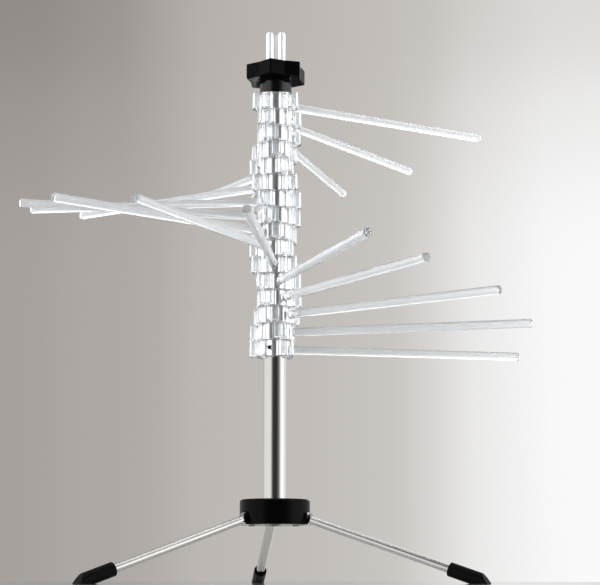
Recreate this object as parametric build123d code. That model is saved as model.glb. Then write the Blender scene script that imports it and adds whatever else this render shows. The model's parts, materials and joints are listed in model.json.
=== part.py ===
import math
import os

from build123d import *

# A pasta drying rack that stands on three folding legs. Sixteen clear arms, each a ring and its
# rod in one moulding, are stacked on a column. A knob on top closes their fan into one row.
# Millimetres, +Z up, the column's axis is Z, and the soles stand at Z zero.

# Overall places
hub_bottom = 46.9
stack_bottom = 183.8
rod_reach = 210

# Clearances
running_gap = 0.06
seat_gap = 0.05
face_gap = 0.3
overrun = 2

# Column
column_radius = 9.8
column_wall = 0.8
plug_length = 14

# Arms, one azimuth in degrees for each from the top one down
arm_azimuths = [29, 53, 72, 97, 121.5, 146.5, 171, 194, 217.5, 241.5, 264.5, 288, 301, 323, 345, 371]
rod_radius = 3.5

# Ring of an arm
ring_height = 13.5
core_radius = 15.2
lobe_count = 3
lobe_reach = 21.7
nose_radius = 3
cup_wall = 1.5
cup_floor = 1.6
cup_start = 14.1
drain_radius = 2.2

# Stop peg on a ring's top and the arc slot under the ring above it
peg_circle = 12
peg_width = 2
peg_height = 1.5
peg_angle = 180
stop_travel = 27
stop_spare = 1
slot_depth = 1.9
slot_side_gap = 0.25

# Set screw in the lowest ring
screw_radius = 1.65
screw_length = 4.5
screw_recess_radius = 3.1
screw_recess_depth = 0.7
screw_socket_radius = 0.8
screw_socket_depth = 1.5
screw_angle = -120

# Knob
knob_height = 12.5
knob_reach = 26.2
knob_crease = 21.2
knob_points = 6
knob_angle = -100
knob_edge = 0.9
collar_height = 12.4
collar_radius = 13.4
ledge_radius = 12.8
ledge_depth = 3.1

# Guide bush in the column's top
bush_flange_radius = 12.4
bush_flange_height = 2.4
bush_length = 14
bush_bore = 8.3

# Wand
wand_length = 322
wand_show = 30.9
wand_width = 16.2
wand_rib = 6.4
wand_web = 2.6
wand_tip_chamfer = 2.2
wand_stop_height = 5

# Hub and its base plate
hub_radius = 28.6
hub_height = 20.5
hub_edge = 1.2
plate_height = 1.9
plate_lip = 0.8

# Legs, their pins and slots
leg_azimuths = [-25, -145, 95]
leg_radius = 3.85
leg_pin_place = 20.5
leg_pin_rise = 7.5
leg_end_place = 166
eye_radius = 5.4
eye_width = 4.8
flat_length = 14
flat_blend = 10
pin_radius = 2
pin_length = 14

# Feet
foot_radius = 5.6
foot_mouth_place = 148.4
foot_mouth_height = 11.2
foot_toe_place = 180.2
foot_toe_lean = 5.3
foot_toe_top = 8

# Screws that hold the base plate to the hub
hub_screw_place = 21
hub_screw_radius = 1.5
hub_screw_length = 10
hub_screw_head_radius = 2.9
hub_screw_head = 1.6

# Screw that holds the column to the base plate
column_screw_radius = 2.5
column_screw_length = 12
column_screw_head_radius = 4.6
column_screw_head = 2.6

# Places worked out from the sizes above
arm_count = len(arm_azimuths)
ring_pitch = ring_height + face_gap
stack_top = stack_bottom + arm_count * ring_pitch - face_gap
collar_bottom = stack_top + face_gap
knob_bottom = collar_bottom + collar_height
knob_top = knob_bottom + knob_height
column_top = knob_top - ledge_depth + face_gap
column_inner = column_radius - column_wall
plate_top = hub_bottom + plate_height
wand_top = column_top + bush_flange_height + wand_show
wand_foot = wand_top - wand_length
leg_pin_height = hub_bottom + leg_pin_rise
leg_slope = math.degrees(math.atan2(leg_pin_height - foot_mouth_height, foot_mouth_place - leg_pin_place))
leg_cos = math.cos(math.radians(leg_slope))
leg_sin = math.sin(math.radians(leg_slope))
eye_room = eye_radius + face_gap
slot_width = eye_width + 2 * face_gap
nose_place = lobe_reach - nose_radius
lobe_step = 360 / lobe_count
flank_angle = math.degrees(math.acos((core_radius - nose_radius) / nose_place))
flank_cos = math.cos(math.radians(flank_angle))
flank_sin = math.sin(math.radians(flank_angle))


def placed(shape, azimuth, height=0):
    """Turn a shape about the column to an azimuth and lift it."""
    return Pos(0, 0, height) * Rot(0, 0, azimuth) * shape


def cylinder_at(radius, bottom, top):
    """Upright cylinder on the column's axis."""
    return Pos(0, 0, bottom) * Cylinder(radius, top - bottom, align=(Align.CENTER, Align.CENTER, Align.MIN))


def radial_cylinder(radius, start, end, height):
    """Cylinder along +X at a height."""
    rod = Cylinder(radius, end - start, align=(Align.CENTER, Align.CENTER, Align.MIN))
    return Pos(start, 0, height) * Rot(0, 90, 0) * rod


def side_prism(points, width):
    """Outline in the XZ plane, drawn out by half a width to each side."""
    return extrude(Plane.XZ * make_face(Polyline(*points, close=True)), width / 2, both=True)


# One arm, its rod pointing along +X

def lobe_outline(start, inset):
    """A lobe's two flanks and round nose, moved in by an inset, from a place along +X outward."""
    nose = nose_radius - inset
    half = (core_radius - inset - start * flank_cos) / flank_sin
    shoulder = nose_place + nose * flank_cos
    turn = nose * flank_sin
    outline = Line((start, -half), (shoulder, -turn))
    outline += ThreePointArc((shoulder, -turn), (nose_place + nose, 0), (shoulder, turn))
    return outline + Line((shoulder, turn), (start, half))


def ring():
    """Round ring whose lobes leave it along tangents."""
    outline = Curve()
    for n in range(lobe_count):
        turned = Rot(0, 0, n * lobe_step + lobe_step / 2)
        outline += turned * lobe_outline(core_radius * flank_cos, 0)
        outline += turned * CenterArc((0, 0), core_radius, flank_angle, lobe_step - 2 * flank_angle)
    return extrude(make_face(outline), ring_height)


def cup():
    """The hollow of one lobe, open at the top, and its drain hole."""
    sides = lobe_outline(cup_start, cup_wall)
    hollow = extrude(make_face(sides + Line(sides @ 1, sides @ 0)), ring_height)
    drain = extrude(RegularPolygon(drain_radius, 6), cup_floor + overrun, both=True)
    return Pos(0, 0, cup_floor) * hollow + Pos((cup_start + nose_place) / 2, 0, 0) * drain


def arc_block(width, start_angle, arc_angle, bottom, top):
    """Block that follows the peg circle over an arc."""
    section = Plane.XZ * Pos(peg_circle, (bottom + top) / 2) * Rectangle(width, top - bottom)
    return Rot(0, 0, start_angle) * revolve(section, Axis.Z, arc_angle)


def stop_peg(gap, bottom, top):
    """Peg on a ring's top, or with a gap the room for it."""
    half_angle = math.degrees((peg_width / 2 + gap) / peg_circle)
    return arc_block(peg_width + 2 * gap, peg_angle - half_angle, 2 * half_angle, bottom, top)


def arc_slot():
    """Slot under a ring for the peg of the ring below it."""
    spare = math.degrees(peg_width / 2 / peg_circle) + stop_spare
    width = peg_width + 2 * slot_side_gap
    return arc_block(width, peg_angle - spare, stop_travel + 2 * spare, -overrun, slot_depth)


def arm():
    """An arm: a ring with three hollow lobes, its rod, a stop peg and an arc slot."""
    body = ring()
    for n in range(lobe_count):
        body -= placed(cup(), n * lobe_step + lobe_step / 2)
    body -= cylinder_at(column_radius + running_gap, -overrun, ring_height + overrun)
    body -= arc_slot()
    body += stop_peg(0, ring_height - slot_depth, ring_height + peg_height)
    return body + radial_cylinder(rod_radius, core_radius - cup_wall, rod_reach, ring_height / 2)


def set_screw_hole():
    """Recess and hole for the set screw, through the lowest ring between two lobes."""
    height = ring_height / 2
    outside = core_radius + overrun
    hole = radial_cylinder(screw_radius + seat_gap, column_radius - overrun, outside, height)
    return hole + radial_cylinder(screw_recess_radius, core_radius - screw_recess_depth, outside, height)


def set_screw():
    """Headless screw that bears on the column, with a six-sided socket in its outer end."""
    start = column_radius + seat_gap
    end = start + screw_length
    body = radial_cylinder(screw_radius, start, end, ring_height / 2)
    socket = extrude(RegularPolygon(screw_socket_radius, 6), screw_socket_depth + overrun)
    return body - Pos(end - screw_socket_depth, 0, ring_height / 2) * Rot(0, 90, 0) * socket


# Knob, bush and wand

def knob():
    """Six-pointed knob with creased sides, its collar and its bores."""
    step = 360 / knob_points
    outline = []
    for n in range(knob_points):
        for reach, azimuth in ((knob_reach, n * step), (knob_crease, (n + 0.5) * step)):
            outline.append((reach * math.cos(math.radians(azimuth)), reach * math.sin(math.radians(azimuth))))
    star = extrude(make_face(Polyline(*outline, close=True)), knob_height)
    rims = star.edges().group_by(Axis.Z)
    star = chamfer(rims[0] + rims[-1], knob_edge)
    body = placed(star, knob_angle, knob_bottom)
    body += cylinder_at(collar_radius, collar_bottom, knob_bottom + knob_edge)
    body -= cylinder_at(column_radius + running_gap, collar_bottom - overrun, knob_top + overrun)
    body -= cylinder_at(ledge_radius, knob_top - ledge_depth, knob_top + overrun)
    drive_hole = stop_peg(seat_gap, collar_bottom - overrun, collar_bottom + slot_depth)
    return body - placed(drive_hole, arm_azimuths[0])


def guide_bush():
    """Flanged bush in the column's top, over the knob's ledge."""
    foot = column_top - bush_length
    top = column_top + bush_flange_height
    body = cylinder_at(bush_flange_radius, column_top, top)
    body += cylinder_at(column_inner - seat_gap, foot, column_top)
    return body - cylinder_at(bush_bore, foot - overrun, top + overrun)


def wand():
    """Moulded wand: two round ribs joined by a web, each with a broken tip."""
    rib_radius = wand_rib / 2
    rib_place = wand_width / 2 - rib_radius
    web = Box(2 * rib_place, wand_web, wand_length - wand_rib, align=(Align.CENTER, Align.CENTER, Align.MIN))
    body = Pos(0, 0, wand_foot) * web
    rib = cylinder_at(rib_radius, wand_foot, wand_top)
    rib = chamfer(rib.edges().group_by(Axis.Z)[-1], wand_tip_chamfer)
    for side in (-1, 1):
        body += Pos(side * rib_place, 0, 0) * rib
    return body


# Column and what is inside it

def column_tube():
    """Thin tube from the base plate up into the knob."""
    outside = cylinder_at(column_radius, plate_top, column_top)
    return outside - cylinder_at(column_inner, plate_top, column_top)


def wand_stop():
    """Plug in the column that the wand stands on."""
    return cylinder_at(column_inner - seat_gap, wand_foot - seat_gap - wand_stop_height, wand_foot - seat_gap)


def column_plug():
    """Plug in the column's foot, bored for the column screw."""
    body = cylinder_at(column_inner - seat_gap, plate_top, plate_top + plug_length)
    return body - cylinder_at(column_screw_radius + seat_gap, plate_top, plate_top + plug_length)


def screw_below(radius, length, head_radius, head_height):
    """Screw driven up through the base plate, with a six-sided head under it."""
    head = extrude(RegularPolygon(head_radius, 6), -head_height)
    return cylinder_at(radius, hub_bottom, hub_bottom + length) + Pos(0, 0, hub_bottom) * head


def column_screw():
    """Screw into the column's plug."""
    return screw_below(column_screw_radius, column_screw_length, column_screw_head_radius, column_screw_head)


def hub_screws():
    """Three screws into the hub, halfway between the legs."""
    screw = screw_below(hub_screw_radius, hub_screw_length, hub_screw_head_radius, hub_screw_head)
    return Compound(children=[between_legs(screw, azimuth) for azimuth in leg_azimuths])


def between_legs(shape, azimuth):
    """Put a shape at the hub screws' distance from the column, halfway past one leg to the next."""
    return placed(Pos(hub_screw_place, 0, 0) * shape, azimuth + 180 / len(leg_azimuths))


# Hub, plate, legs and feet

def leg_slot():
    """Room for one leg about its pin, from its open place down to hanging."""
    far = hub_radius + overrun
    ceiling_drop = (far - leg_pin_place - eye_room * leg_sin) * leg_sin / leg_cos
    points = [
        (leg_pin_place - eye_room, leg_pin_height),
        (leg_pin_place - eye_room, hub_bottom - overrun),
        (far, hub_bottom - overrun),
        (far, leg_pin_height + eye_room * leg_cos - ceiling_drop),
        (leg_pin_place + eye_room * leg_sin, leg_pin_height + eye_room * leg_cos),
        (leg_pin_place, leg_pin_height),
    ]
    return side_prism(points, slot_width) + across_slot(eye_room, slot_width)


def across_slot(radius, length):
    """Cylinder across a leg's slot, on the pin's axis."""
    return Pos(leg_pin_place, 0, leg_pin_height) * Rot(90, 0, 0) * Cylinder(radius, length)


def pin_groove():
    """Groove for a leg pin, open below so that the pin goes in before the plate."""
    radius = pin_radius + seat_gap
    length = pin_length + 2 * seat_gap
    drop = leg_pin_rise + overrun
    mouth = Pos(leg_pin_place, 0, leg_pin_height) * Box(
        2 * radius, length, drop, align=(Align.CENTER, Align.CENTER, Align.MAX)
    )
    return mouth + across_slot(radius, length)


def hub_screw_hole(depth):
    """Hole for one hub screw, up from the base plate's underside."""
    return cylinder_at(hub_screw_radius + seat_gap, hub_bottom - overrun, hub_bottom + depth)


def hub_body():
    """Moulded hub: a disc with a broken rim, bored for the column, with leg slots and pin grooves."""
    top = hub_bottom + hub_height
    body = cylinder_at(hub_radius, plate_top, top)
    body = chamfer(body.edges().group_by(Axis.Z)[-1], hub_edge)
    body -= cylinder_at(column_radius + seat_gap, plate_top - overrun, top + overrun)
    for azimuth in leg_azimuths:
        body -= placed(leg_slot(), azimuth)
        body -= placed(pin_groove(), azimuth)
        body -= between_legs(hub_screw_hole(hub_screw_length + face_gap), azimuth)
    return body


def hub_base_plate():
    """Plate that closes the hub and laps past its rim, with two posts under each leg pin."""
    body = cylinder_at(hub_radius + plate_lip, hub_bottom, plate_top)
    post_inner = slot_width / 2 + face_gap
    post_outer = pin_length / 2 - face_gap
    post_height = leg_pin_rise - pin_radius - seat_gap
    for azimuth in leg_azimuths:
        for side in (-1, 1):
            post = Pos(leg_pin_place, side * (post_inner + post_outer) / 2, hub_bottom) * Box(
                2 * pin_radius - face_gap,
                post_outer - post_inner,
                post_height,
                align=(Align.CENTER, Align.CENTER, Align.MIN),
            )
            body += placed(post, azimuth)
        body -= placed(leg_slot(), azimuth)
        body -= between_legs(hub_screw_hole(plate_height + overrun), azimuth)
    return body - cylinder_at(column_screw_radius + seat_gap, hub_bottom - overrun, plate_top + overrun)


def leg_frame(shape):
    """Put a shape drawn along +X from the pin onto a leg's slope."""
    return Pos(leg_pin_place, 0, leg_pin_height) * Rot(0, leg_slope, 0) * shape


def leg():
    """Round leg whose inner end is pressed flat, rounded and bored for its pin."""
    length = (leg_end_place - leg_pin_place) / leg_cos
    inscribed = leg_radius * math.sqrt(2)
    body = radial_cylinder(leg_radius, flat_length, length, 0)
    body += Pos(flat_length / 2, 0, 0) * Box(flat_length, eye_width, 2 * eye_radius)
    sections = [
        Plane.YZ.offset(flat_length) * Rectangle(eye_width, 2 * eye_radius),
        Plane.YZ.offset(flat_length + flat_blend) * Rectangle(inscribed, inscribed),
    ]
    body += loft(sections, ruled=True)
    body += Rot(90, 0, 0) * Cylinder(eye_radius, eye_width)
    body -= Rot(90, 0, 0) * Cylinder(pin_radius + running_gap, eye_width + overrun)
    return leg_frame(body)


def foot():
    """Sleeve on a leg's outer end, cut flat below and leaning at its toe."""
    start = (foot_mouth_place - leg_pin_place) / leg_cos
    sleeve_length = 2 * (foot_toe_place - foot_mouth_place)
    sleeve = leg_frame(radial_cylinder(foot_radius, start, start + sleeve_length, 0))
    back = foot_mouth_place - 2 * foot_radius
    top = foot_mouth_height + 2 * foot_radius
    points = [
        (back, 0),
        (foot_toe_place, 0),
        (foot_toe_place - foot_toe_lean, foot_toe_top),
        (foot_toe_place - foot_toe_lean, top),
        (back, top),
    ]
    body = sleeve & side_prism(points, 4 * foot_radius)
    bore_end = (leg_end_place - leg_pin_place) / leg_cos + seat_gap
    return body - leg_frame(radial_cylinder(leg_radius + seat_gap, start - overrun, bore_end, 0))


def save(name, shape):
    """Write one sub-part."""
    shape.label = name
    export_step(shape, os.path.join("parts", name + ".step"))


def main():
    os.makedirs("parts", exist_ok=True)

    plain_arm = arm()
    lowest_arm = plain_arm - placed(set_screw_hole(), screw_angle)
    for number, azimuth in enumerate(arm_azimuths, start=1):
        bottom = stack_top + face_gap - number * ring_pitch
        moulding = lowest_arm if number == arm_count else plain_arm
        save(f"arm_{number:02d}", placed(moulding, azimuth, bottom))
    save("ring_set_screw", placed(set_screw(), arm_azimuths[-1] + screw_angle, stack_bottom))

    save("knob", knob())
    save("guide_bush", guide_bush())
    save("wand", wand())
    save("column_tube", column_tube())
    save("wand_stop", wand_stop())
    save("column_plug", column_plug())
    save("column_screw", column_screw())
    save("hub_body", hub_body())
    save("hub_base_plate", hub_base_plate())
    save("hub_screws", hub_screws())

    plain_leg = leg()
    plain_foot = foot()
    plain_pin = across_slot(pin_radius, pin_length)
    for number, azimuth in enumerate(leg_azimuths, start=1):
        save(f"leg_{number}", placed(plain_leg, azimuth))
        save(f"leg_pin_{number}", placed(plain_pin, azimuth))
        save(f"foot_{number}", placed(plain_foot, azimuth))


main()
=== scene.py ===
import json
import math

import bmesh
import bpy
import numpy as np
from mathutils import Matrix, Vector
from mathutils.geometry import delaunay_2d_cdt

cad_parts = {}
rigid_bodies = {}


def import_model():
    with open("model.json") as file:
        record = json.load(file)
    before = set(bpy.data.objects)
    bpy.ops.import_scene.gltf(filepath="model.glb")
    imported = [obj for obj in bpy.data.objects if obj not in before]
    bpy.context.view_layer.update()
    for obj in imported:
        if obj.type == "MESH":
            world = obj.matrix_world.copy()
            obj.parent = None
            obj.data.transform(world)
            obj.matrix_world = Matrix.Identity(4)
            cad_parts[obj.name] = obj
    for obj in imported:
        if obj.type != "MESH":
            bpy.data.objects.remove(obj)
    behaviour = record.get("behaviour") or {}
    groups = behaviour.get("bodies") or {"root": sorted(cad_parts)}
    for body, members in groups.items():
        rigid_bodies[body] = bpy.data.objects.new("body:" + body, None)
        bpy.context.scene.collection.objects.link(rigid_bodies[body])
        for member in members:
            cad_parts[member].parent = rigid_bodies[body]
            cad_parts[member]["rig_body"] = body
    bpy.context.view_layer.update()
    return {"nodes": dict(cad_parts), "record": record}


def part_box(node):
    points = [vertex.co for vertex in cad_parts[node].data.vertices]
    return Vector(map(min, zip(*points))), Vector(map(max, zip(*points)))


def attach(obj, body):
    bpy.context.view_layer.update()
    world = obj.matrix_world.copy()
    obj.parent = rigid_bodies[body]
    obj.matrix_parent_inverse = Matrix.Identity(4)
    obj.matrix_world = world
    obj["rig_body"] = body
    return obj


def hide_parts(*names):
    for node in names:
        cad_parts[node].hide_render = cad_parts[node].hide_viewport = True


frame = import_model()
nodes = frame["nodes"]
rows = {row["node"]: row for row in frame["record"]["subparts"]}
print("frame loaded:", len(nodes), "nodes")

# shapes are worked out in millimetres
toMetres = 0.001
toMillimetres = 1000

# angles in degrees from which an edge stays sharp and from which a bevel rounds it
edgeAngles = {"sharp": 40, "bevelled": 32}
bevelSteps = 2

# share of a rounded edge's width at the edge's middle point
bow = 0.3

# distance below which two points are one, in the mesh's own unit, and degrees below which a face is flat
samePoint = 1e-6
flatAngle = 0.6


class Skin:
    # points and faces of one closed surface, in millimetres
    def __init__(self):
        self.points = []
        self.faces = []
        self.count = 0

    def add(self, points):
        # indices of the new points
        points = np.atleast_2d(points)
        self.points.append(points)
        self.count += len(points)
        return list(range(self.count - len(points), self.count))

    def bridge(self, first, second, closed=True):
        # quads between two loops of the same length
        if closed:
            first, second = first + first[:1], second + second[:1]
        self.faces += zip(first, first[1:], second[1:], second)

    def stack(self, loops, closed=True):
        # quads from each loop to the next
        for first, second in zip(loops, loops[1:]):
            self.bridge(first, second, closed)

    def rise(self, outlines):
        # walls from each plan to the next, every plan lifted to its own height
        loops = [self.add(lifted(plan, height)) for plan, height in outlines]
        self.stack(loops)
        return loops

    def cap(self, loop):
        # fan of triangles about the loop's middle
        middle = self.add(self.all()[loop].mean(axis=0))[0]
        self.faces += [(start, end, middle) for start, end in zip(loop, loop[1:] + loop[:1])]

    def fill(self, loops, axes=(0, 1)):
        # triangles in the plane between an outer loop and the holes in it; one is kept where the count of
        # loops around it is odd
        every = self.all()
        flat = [every[loop][:, list(axes)] for loop in loops]
        indices = [index for loop in loops for index in loop]
        edges = []
        start = 0
        for loop in loops:
            edges += [(start + i, start + (i + 1) % len(loop)) for i in range(len(loop))]
            start += len(loop)
        found = delaunay_2d_cdt([Vector(point) for point in np.vstack(flat)], edges, [], 0, samePoint)
        for face in found[2]:
            centre = np.mean([found[0][i] for i in face], axis=0)
            inside = sum(surrounds(loop, centre) for loop in flat)
            if inside % 2:
                self.faces.append(tuple(indices[found[3][i][0]] for i in face))

    def all(self):
        return np.vstack(self.points)


def surrounds(loop, point):
    # whether a ray from the point towards +X crosses the loop an odd number of times
    after = np.roll(loop, -1, axis=0)
    low, high = np.minimum(loop[:, 1], after[:, 1]), np.maximum(loop[:, 1], after[:, 1])
    crosses = (low <= point[1]) & (point[1] < high)
    rise = np.where(crosses, after[:, 1] - loop[:, 1], 1)
    place = loop[:, 0] + (point[1] - loop[:, 1]) / rise * (after[:, 0] - loop[:, 0])
    return bool(np.count_nonzero(crosses & (place > point[0])) % 2)


def arc(centre, radius, start, stop, steps, ends=True):
    # x = cx + r cos t, y = cy + r sin t, t from start to stop in degrees
    turns = np.radians(np.linspace(start, stop, steps + 1))
    if not ends:
        turns = turns[:-1]
    return np.column_stack([centre[0] + radius * np.cos(turns), centre[1] + radius * np.sin(turns)])


def quarterTurns(steps):
    # angles over a quarter of a circle
    return np.radians(np.linspace(0, 90, steps + 1))


def lifted(plan, height):
    # a plan's points, all at one height
    return np.column_stack([plan, np.full(len(plan), height)])


def turned(points, degrees):
    # rotation about Z: x' = x cos a - y sin a, y' = x sin a + y cos a
    angle = math.radians(degrees)
    made = np.array(points, dtype=float)
    x, y = made[:, 0].copy(), made[:, 1].copy()
    made[:, 0] = x * math.cos(angle) - y * math.sin(angle)
    made[:, 1] = x * math.sin(angle) + y * math.cos(angle)
    return made


def blockLoop(inner, outer, start, stop, steps=8):
    # outline of a block that follows a circle over an arc
    return np.vstack([arc((0, 0), outer, start, stop, steps), arc((0, 0), inner, stop, start, steps)])


def finished(source, points, faces, layers=None, bevel=0):
    # makes the piece that replaces a node, turns its faces outwards and hands it to the frame
    slot = rows[source]["material_slot"]
    body = nodes[source]["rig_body"]
    mesh = bpy.data.meshes.new(source + "Piece")
    mesh.from_pydata((points * toMetres).tolist(), [], faces)
    for layerName, values in (layers or {}).items():
        layer = mesh.attributes.new(layerName, "FLOAT", "POINT")
        layer.data.foreach_set("value", values.astype(np.float32))
    shaper = bmesh.new()
    shaper.from_mesh(mesh)
    bmesh.ops.recalc_face_normals(shaper, faces=shaper.faces)
    for face in shaper.faces:
        face.smooth = True
    for edge in shaper.edges:
        edge.smooth = edge.calc_face_angle(0) < math.radians(edgeAngles["sharp"])
    shaper.to_mesh(mesh)
    shaper.free()
    mesh.materials.append(finishes[slot])
    made = bpy.data.objects.new(source + "Piece", mesh)
    bpy.context.scene.collection.objects.link(made)
    if bevel:
        rounder = made.modifiers.new("edges", "BEVEL")
        rounder.width = bevel * toMetres
        rounder.segments = bevelSteps
        rounder.limit_method = "ANGLE"
        rounder.angle_limit = math.radians(edgeAngles["bevelled"])
        rounder.harden_normals = False
    weigher = made.modifiers.new("normals", "WEIGHTED_NORMAL")
    weigher.keep_sharp = True
    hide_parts(source)
    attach(made, body)


def pieceFor(node, skin, bevel=0, layers=None):
    # replaces one node by a surface
    finished(node, skin.all(), skin.faces, layers, bevel)


def mergedCopy(node, hubBottom, bevel, belowShare):
    # the node's own mesh, merged, with its edges rounded; below the hub it keeps a share of its depth
    shaper = bmesh.new()
    shaper.from_mesh(nodes[node].data)
    shaper.transform(nodes[node].matrix_world)
    bmesh.ops.remove_doubles(shaper, verts=shaper.verts, dist=samePoint)
    bmesh.ops.dissolve_limit(shaper, angle_limit=math.radians(flatAngle), verts=shaper.verts,
                             edges=shaper.edges)
    shaper.verts.index_update()
    points = np.array([vertex.co for vertex in shaper.verts]) * toMillimetres
    under = np.minimum(points[:, 2] - hubBottom, 0)
    points[:, 2] -= under * (1 - belowShare)
    faces = [tuple(vertex.index for vertex in face.verts) for face in shaper.faces]
    shaper.free()
    finished(node, points, faces, bevel=bevel)


# colour, roughness from the polished to the dull spots, and how fine grain and ripples are
looks = {
    "clearMoulding": {
        "colour": (0.97, 0.985, 1),
        "ior": 1.5,
        "grain": 120,
        "roughness": (0.07, 0.16),
        "milkyRoughness": 0.07,
        "frostRoughness": 0.45,
        "ripples": 60,
        "rippleDepth": 0.00003,
    },
    "blackGloss": {
        "colour": (0.0016, 0.0017, 0.0019),
        "ior": 1.45,
        # reflection level of the plain black and of the knob's collar; the collar's higher level is a painted
        # highlight
        "specular": (0.1, 0.9),
        "grain": 150,
        "roughness": (0.08, 0.16),
        "ripples": 400,
        "rippleDepth": 0.00002,
    },
    "blackSatin": {
        "colour": (0.0035, 0.0035, 0.0035),
        "specular": 0.09,
        "grain": 300,
        "roughness": (0.3, 0.45),
        "ripples": 1500,
        "rippleDepth": 0.00004,
    },
    "polishedSteel": {
        "colour": (0.93, 0.92, 0.9),
        "grain": 90,
        "stretch": (1, 1, 0.2),
        "roughness": (0.02, 0.08),
    },
    "turnedSteel": {"colour": (0.55, 0.55, 0.55), "grain": 500, "roughness": (0.25, 0.4)},
    "blackenedSteel": {"colour": (0.015, 0.015, 0.015), "grain": 500, "roughness": (0.3, 0.45)},
    "floor": {"colour": (0.36, 0.357, 0.353), "roughness": 0.04},
}

# noise that isn't stretched along any axis
even = (1, 1, 1)

# share of diffuse white in the clear mouldings
milk = {"ring": 0.06, "rod": 0.2, "tip": 0.03, "wand": 0.3}


def newMaterial(name):
    # plain shader in the look's colour
    look = looks[name]
    made = bpy.data.materials.new(name)
    made.use_nodes = True
    tree = made.node_tree
    shader = tree.nodes["Principled BSDF"]
    shader.inputs["Base Color"].default_value = (*look["colour"], 1)
    return made, tree, shader, look


def noise(tree, scale, stretch):
    # noise on the object's own coordinates
    where = tree.nodes.new("ShaderNodeTexCoord")
    mapping = tree.nodes.new("ShaderNodeMapping")
    mapping.inputs["Scale"].default_value = stretch
    made = tree.nodes.new("ShaderNodeTexNoise")
    made.inputs["Scale"].default_value = scale
    made.inputs["Detail"].default_value = 3
    tree.links.new(where.outputs["Object"], mapping.inputs["Vector"])
    tree.links.new(mapping.outputs["Vector"], made.inputs["Vector"])
    return made.outputs["Fac"]


def spread(tree, source, low, high, fromLow=0.3, fromHigh=0.7, smooth=False):
    # stretches a value between two others, straight or in a soft curve
    made = tree.nodes.new("ShaderNodeMapRange")
    made.interpolation_type = "SMOOTHSTEP" if smooth else "LINEAR"
    made.inputs["From Min"].default_value = fromLow
    made.inputs["From Max"].default_value = fromHigh
    made.inputs["To Min"].default_value = low
    made.inputs["To Max"].default_value = high
    tree.links.new(source, made.inputs["Value"])
    return made.outputs["Result"]


def maths(tree, operation, *values):
    # one step of arithmetic on numbers and other nodes' values
    made = tree.nodes.new("ShaderNodeMath")
    made.operation = operation
    for i, value in enumerate(values):
        if isinstance(value, (int, float)):
            made.inputs[i].default_value = value
        else:
            tree.links.new(value, made.inputs[i])
    return made.outputs["Value"]


def layerOf(tree, name):
    # value of one of the mesh's own attributes
    made = tree.nodes.new("ShaderNodeAttribute")
    made.attribute_name = name
    return made.outputs["Fac"]


def grainOf(tree, look):
    # roughness by noise, between the look's polished and dull ends
    return spread(tree, noise(tree, look["grain"], look.get("stretch", even)), *look["roughness"])


def addRipples(tree, shader, look):
    # low bumps that follow noise
    made = tree.nodes.new("ShaderNodeBump")
    made.inputs["Distance"].default_value = look["rippleDepth"]
    made.inputs["Strength"].default_value = 1
    tree.links.new(noise(tree, look["ripples"], even), made.inputs["Height"])
    tree.links.new(made.outputs["Normal"], shader.inputs["Normal"])


def clearPlastic():
    # clear moulding; its milk attribute makes it milky and a little dull, and its frost attribute is one on
    # the rods' rough ends
    made, tree, shader, look = newMaterial("clearMoulding")
    shader.inputs["IOR"].default_value = look["ior"]
    white = layerOf(tree, "milk")
    tree.links.new(spread(tree, white, 1, 0, 0, 1), shader.inputs["Transmission Weight"])
    cloud = spread(tree, white, 0, look["milkyRoughness"], milk["ring"], milk["rod"])
    frost = spread(tree, layerOf(tree, "frost"), 0, look["frostRoughness"], 0, 1)
    roughness = maths(tree, "MAXIMUM", maths(tree, "ADD", grainOf(tree, look), cloud), frost)
    tree.links.new(roughness, shader.inputs["Roughness"])
    addRipples(tree, shader, look)
    return made


def blackGloss():
    # glossy black whose attribute raises the reflections where it is one: a painted highlight on the knob's
    # collar, which is the same black plastic as the star and the hub
    made, tree, shader, look = newMaterial("blackGloss")
    shader.inputs["IOR"].default_value = look["ior"]
    # painted highlight: where the attribute is one, the reflection level rises to the look's higher specular
    paintedGleam = spread(tree, layerOf(tree, "paintedGleam"), *look["specular"], 0, 1)
    tree.links.new(paintedGleam, shader.inputs["Specular IOR Level"])
    tree.links.new(grainOf(tree, look), shader.inputs["Roughness"])
    addRipples(tree, shader, look)
    return made


def blackSatin():
    # soft black sleeve with a dull skin
    made, tree, shader, look = newMaterial("blackSatin")
    shader.inputs["Specular IOR Level"].default_value = look["specular"]
    tree.links.new(grainOf(tree, look), shader.inputs["Roughness"])
    addRipples(tree, shader, look)
    return made


def steel(name):
    # bare metal whose roughness varies by noise
    made, tree, shader, look = newMaterial(name)
    shader.inputs["Metallic"].default_value = 1
    tree.links.new(grainOf(tree, look), shader.inputs["Roughness"])
    return made


finishes = {
    "clear_plastic": clearPlastic(),
    "black_plastic": blackGloss(),
    "black_rubber": blackSatin(),
    "polished_steel": steel("polishedSteel"),
    "plain_steel": steel("turnedSteel"),
    "dark_steel": steel("blackenedSteel"),
}
for name, node in nodes.items():
    node.data.materials.clear()
    node.data.materials.append(finishes[rows[name]["material_slot"]])
print("materials made:", len(finishes))

lobes = 3  # of a ring
lobeTurn = 360 / lobes

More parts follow.
